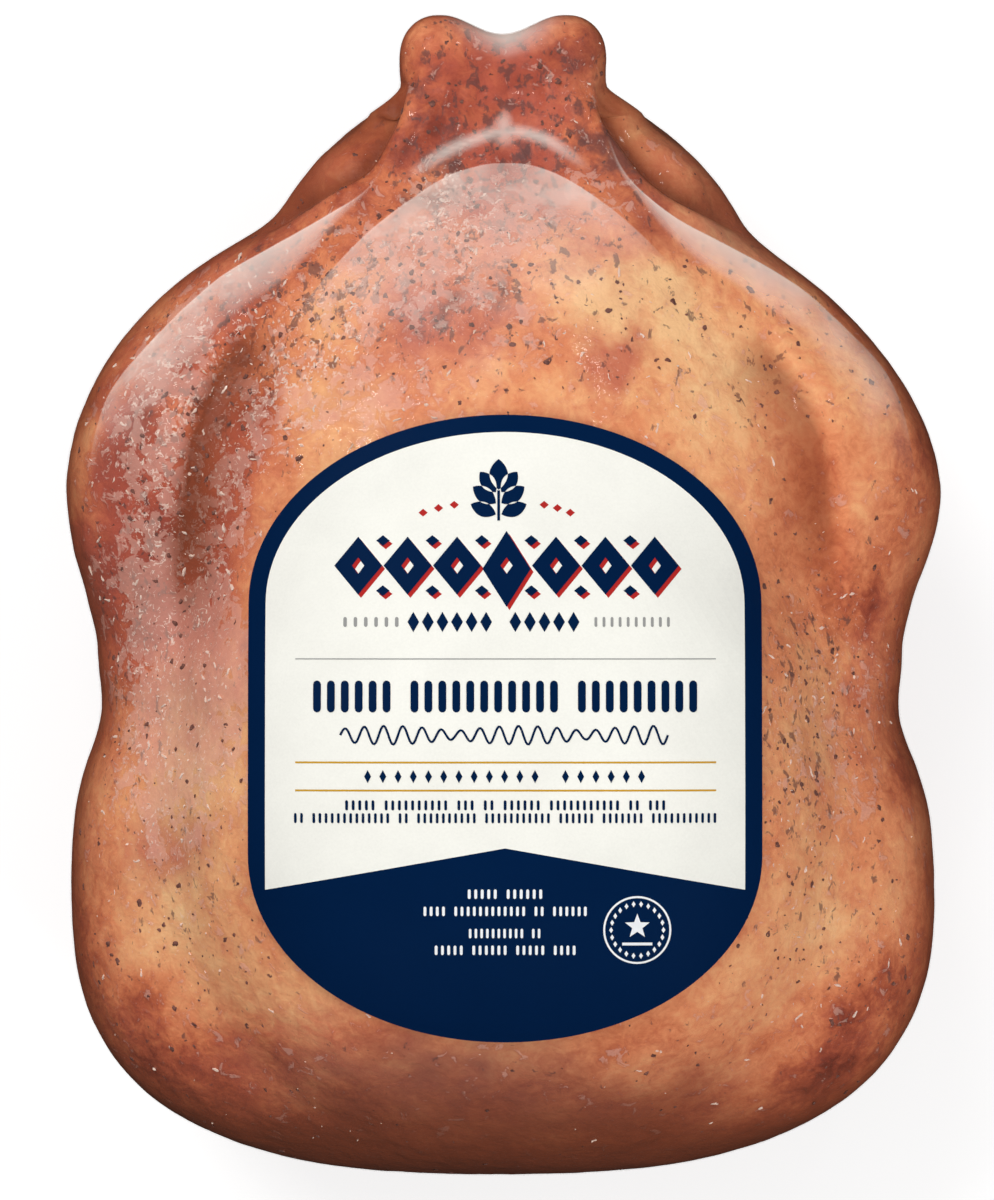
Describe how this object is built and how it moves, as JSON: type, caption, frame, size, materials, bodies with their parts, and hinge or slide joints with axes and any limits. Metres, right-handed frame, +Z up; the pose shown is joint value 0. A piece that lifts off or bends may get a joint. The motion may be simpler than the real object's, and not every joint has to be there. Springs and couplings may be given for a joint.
{
  "type": "roast turkey in a clear shrink bag",
  "caption": "Whole roast turkey lying on its back in a tight clear shrink bag, legs together at one end, with a large arched label over the breast.",
  "frame": {"origin": "middle of the pack's footprint, on the surface that it lies on", "axes": "+Z up through the breast and the label, +Y along the bird from the shoulders to the hocks, +X across it"},
  "size_m": [0.2462, 0.3257, 0.1564],
  "materials": {
    "bag_film": "clear tight film with glossy highlights, fine wrinkles and a whitish web between the hocks",
    "label_print": "semi-gloss film label with a deep blue border and foot, a cream panel, and plain bars and lines in blue, red, gold and grey",
    "roast_skin": "browned roast skin, golden orange, redder and darker on the flanks and at the shoulder end, with dark flecks and pale fatty patches",
    "char_flecks": "matt dark specks of spice and char",
    "juice": "small clear beads of juice and air under the film"
  },
  "bodies": {
    "root": {"bagged_turkey": "bag_film", "label": "label_print"}
  },
  "joints": []
}
